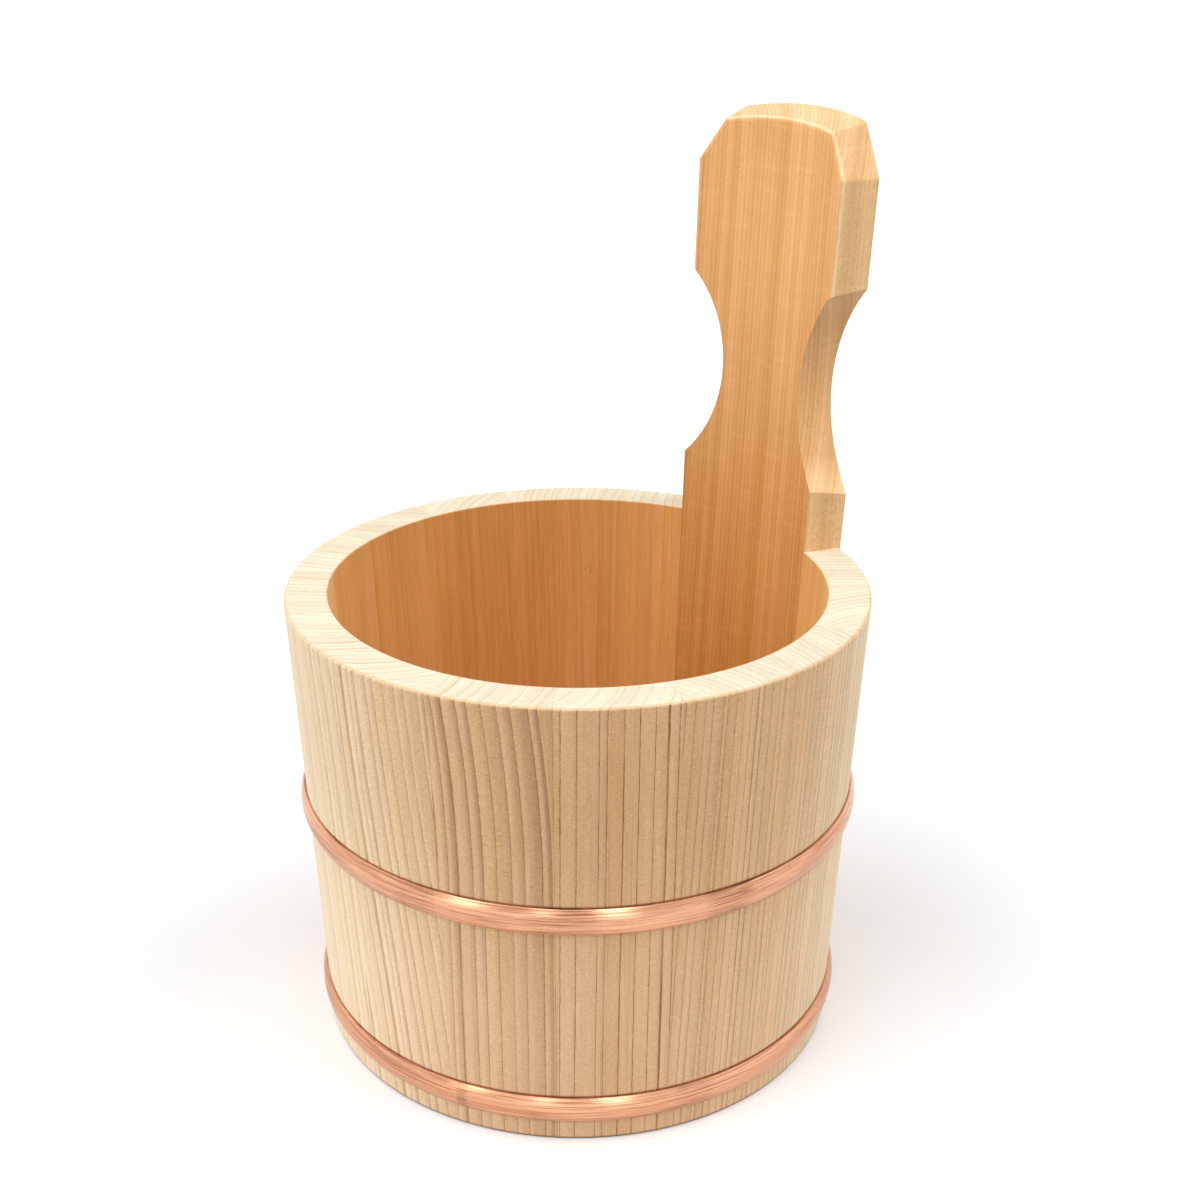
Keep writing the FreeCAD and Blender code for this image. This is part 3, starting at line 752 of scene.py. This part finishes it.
def upright(tree, way, turn, width):    # the same at every height
    flat = addNode(tree, "ShaderNodeVectorMath", {0: stretch(tree, way, (1, 1, 0))},
                   operation="NORMALIZE").outputs[0]
    return patch(tree, flat, turn, 0, width, uprightEdges)


def copperMaterial(name, seed, look, marks):
    material, tree, shader = newMaterial(name)
    here = addNode(tree, "ShaderNodeTexCoord").outputs
    band = useGroup(tree, brushed, {"Vector": here["Object"], "Seed": seed})
    metal = mixColour(tree, ramp(tree, band["Streak"], *look["cleanStreak"]),
                      look["dull"], look["clean"])
    metal = mixColour(tree, maths(tree, "MULTIPLY", band["Tarnish"], look["tarnishShare"]),
                      metal, look["tarnish"])
    marked = 0.0
    for mark in marks:
        place = upright(tree, here["Object"], mark["turn"], mark["width"])
        marked = maths(tree, "MULTIPLY_ADD", place, mark["share"], marked)
    marked = maths(tree, "MULTIPLY", marked, between(tree, band["Scratch"], *look["markShown"]))
    metal = mixColour(tree, marked, metal, look["tarnish"])
    tree.links.new(metal, shader.inputs["Base Color"])

    rough = between(tree, band["Streak"], *look["roughness"])
    rough = maths(tree, "MULTIPLY_ADD", band["Tarnish"], look["tarnishRoughness"], rough)
    tree.links.new(rough, shader.inputs["Roughness"])
    shader.inputs["Metallic"].default_value = 1.0
    shader.inputs["Anisotropic"].default_value = look["brushing"]
    shader.inputs["Anisotropic Rotation"].default_value = 0.25    # across the band
    tangent = addNode(tree, "ShaderNodeTangent", direction_type="RADIAL", axis="Z")
    tree.links.new(tangent.outputs[0], shader.inputs["Tangent"])
    rise = maths(tree, "MULTIPLY_ADD", band["Scratch"], look["scratchRelief"], band["Streak"])
    bump = addNode(tree, "ShaderNodeBump", {"Height": rise, "Distance": look["relief"]})
    tree.links.new(bump.outputs[0], shader.inputs["Normal"])
    return material


for index, name in enumerate(("upper_hoop", "lower_hoop")):
    dress(nodes[name], copperMaterial(f"{name} copper", 4.0 + index * 7.0, copperLook,
                                      hoopMarks[name]))
print("hoops dressed")

# Floor and sky: pale, and white to the camera and in the metal
studio = {
    "floorSize": 30.0,
    "floor": 0.45,               # what the floor gives back to the object
    "floorSeen": 0.98,
    "floorTint": (0.96, 0.98, 1.0, 1.0),
    "floorCloud": ((3, 3, 3), 2.0, 0.5),
    "floorCloudShare": 0.01,
    "floorRoughness": 0.8,
    "skySeen": 1.0,
    "even": 0.12,                # light from all round
    # Soft boxes on the sky: turn from the camera's side, height and half width in degrees
    "boxes": [
        {"turn": -75, "height": 38, "width": 35, "strength": 2.0},
        {"turn": 0, "height": 88, "width": 40, "strength": 0.38},
        {"turn": 180, "height": 25, "width": 45, "strength": 0.20},
        {"turn": 85, "height": 38, "width": 30, "strength": 2.05},
        {"turn": 0, "height": 45, "width": 30, "strength": 0.85},
    ],
    "boxEdges": (1.3, 0.7),
    # Tall narrow windows that only the gloss shows
    "glints": [
        {"turn": 14, "width": 5.0, "strength": 3.4},
        {"turn": -13, "width": 3.0, "strength": 2.4},
        {"turn": -44, "width": 6, "strength": 2.6},
    ],
}


def seenBy(tree, names):    # one where a ray is any of these kinds
    path = addNode(tree, "ShaderNodeLightPath").outputs
    seen = path[names[0]]
    for name in names[1:]:
        seen = maths(tree, "MAXIMUM", seen, path[name])
    return seen


def makeFloor():
    size = studio["floorSize"] / 2
    mesh = bpy.data.meshes.new("floor")
    mesh.from_pydata([(-size, -size, 0), (size, -size, 0), (size, size, 0), (-size, size, 0)],
                     [], [(0, 1, 2, 3)])
    floor = bpy.data.objects.new("floor", mesh)
    bpy.context.scene.collection.objects.link(floor)
    material, tree, shader = newMaterial("pale floor")
    seen = seenBy(tree, ("Is Camera Ray", "Is Glossy Ray", "Is Transmission Ray"))
    place = addNode(tree, "ShaderNodeTexCoord").outputs["Object"]
    value = ramp(tree, seen, 0.0, 1.0, studio["floor"], studio["floorSeen"])
    value = nudge(tree, value, noise(tree, place, studio["floorCloud"]), studio["floorCloudShare"])
    grey = addNode(tree, "ShaderNodeCombineColor", {0: value, 1: value, 2: value}).outputs[0]
    pale = mixColour(tree, 1.0, grey, studio["floorTint"], "MULTIPLY")
    tree.links.new(pale, shader.inputs["Base Color"])
    shader.inputs["Roughness"].default_value = studio["floorRoughness"]
    shader.inputs["Specular IOR Level"].default_value = 0.0
    dress(floor, material)


makeFloor()


# Camera, as fitted to the photograph: a little above the handle's top, looking down

def makeCamera():
    camera = bpy.data.cameras.new("photo camera")
    camera.sensor_width = shot["sensorWidth"]
    camera.lens = shot["sensorWidth"] * shot["focalPixels"] / shot["imagePixels"]
    camera.clip_start = 0.01
    camera.clip_end = 100.0
    holder = bpy.data.objects.new("photo camera", camera)
    bpy.context.scene.collection.objects.link(holder)
    spin = Matrix.Rotation(shot["turn"], 3, "Z")
    ahead = Vector((math.sin(shot["yaw"]) * math.cos(shot["pitch"]),
                    math.cos(shot["yaw"]) * math.cos(shot["pitch"]),
                    -math.sin(shot["pitch"])))
    right = Vector((math.cos(shot["yaw"]), -math.sin(shot["yaw"]), 0))
    up = right.cross(ahead)
    tiltedRight = math.cos(shot["roll"]) * right + math.sin(shot["roll"]) * up
    tiltedUp = math.cos(shot["roll"]) * up - math.sin(shot["roll"]) * right
    axes = [spin @ axis for axis in (tiltedRight, tiltedUp, -ahead)]
    place = spin @ Vector((0, -shot["distance"], shot["height"]))
    holder.matrix_world = Matrix.Translation(place) @ Matrix(axes).transposed().to_4x4()
    bpy.context.scene.camera = holder


makeCamera()


# Light: a pale room with a strong soft box on either side and a weaker one in front. From above
# and behind there is little.

def makeWorld():
    world = bpy.data.worlds.new("pale room")
    bpy.context.scene.world = world
    world.use_nodes = True
    tree = world.node_tree
    background = next(node for node in tree.nodes if node.type == "BACKGROUND")
    way = addNode(tree, "ShaderNodeTexCoord").outputs["Generated"]

    light = studio["even"]
    for box in studio["boxes"]:
        light = maths(tree, "ADD", light, patch(tree, way, box["turn"], box["height"], box["width"],
                                                studio["boxEdges"], box["strength"]))
    shone = studio["skySeen"]
    for glint in studio["glints"]:
        window = upright(tree, way, glint["turn"], glint["width"])
        shone = maths(tree, "MULTIPLY_ADD", window, glint["strength"], shone)
    mirrored = seenBy(tree, ("Is Glossy Ray", "Is Transmission Ray"))
    light = addNode(tree, "ShaderNodeMix", {0: mirrored, 2: light, 3: shone}).outputs[0]
    seen = seenBy(tree, ("Is Camera Ray",))
    light = addNode(tree, "ShaderNodeMix", {0: seen, 2: light, 3: studio["skySeen"]}).outputs[0]
    tree.links.new(light, background.inputs["Strength"])
    background.inputs["Color"].default_value = (1.0, 1.0, 1.0, 1.0)


makeWorld()
bpy.context.scene.view_settings.view_transform = "Standard"
print("floor, camera and light are set")
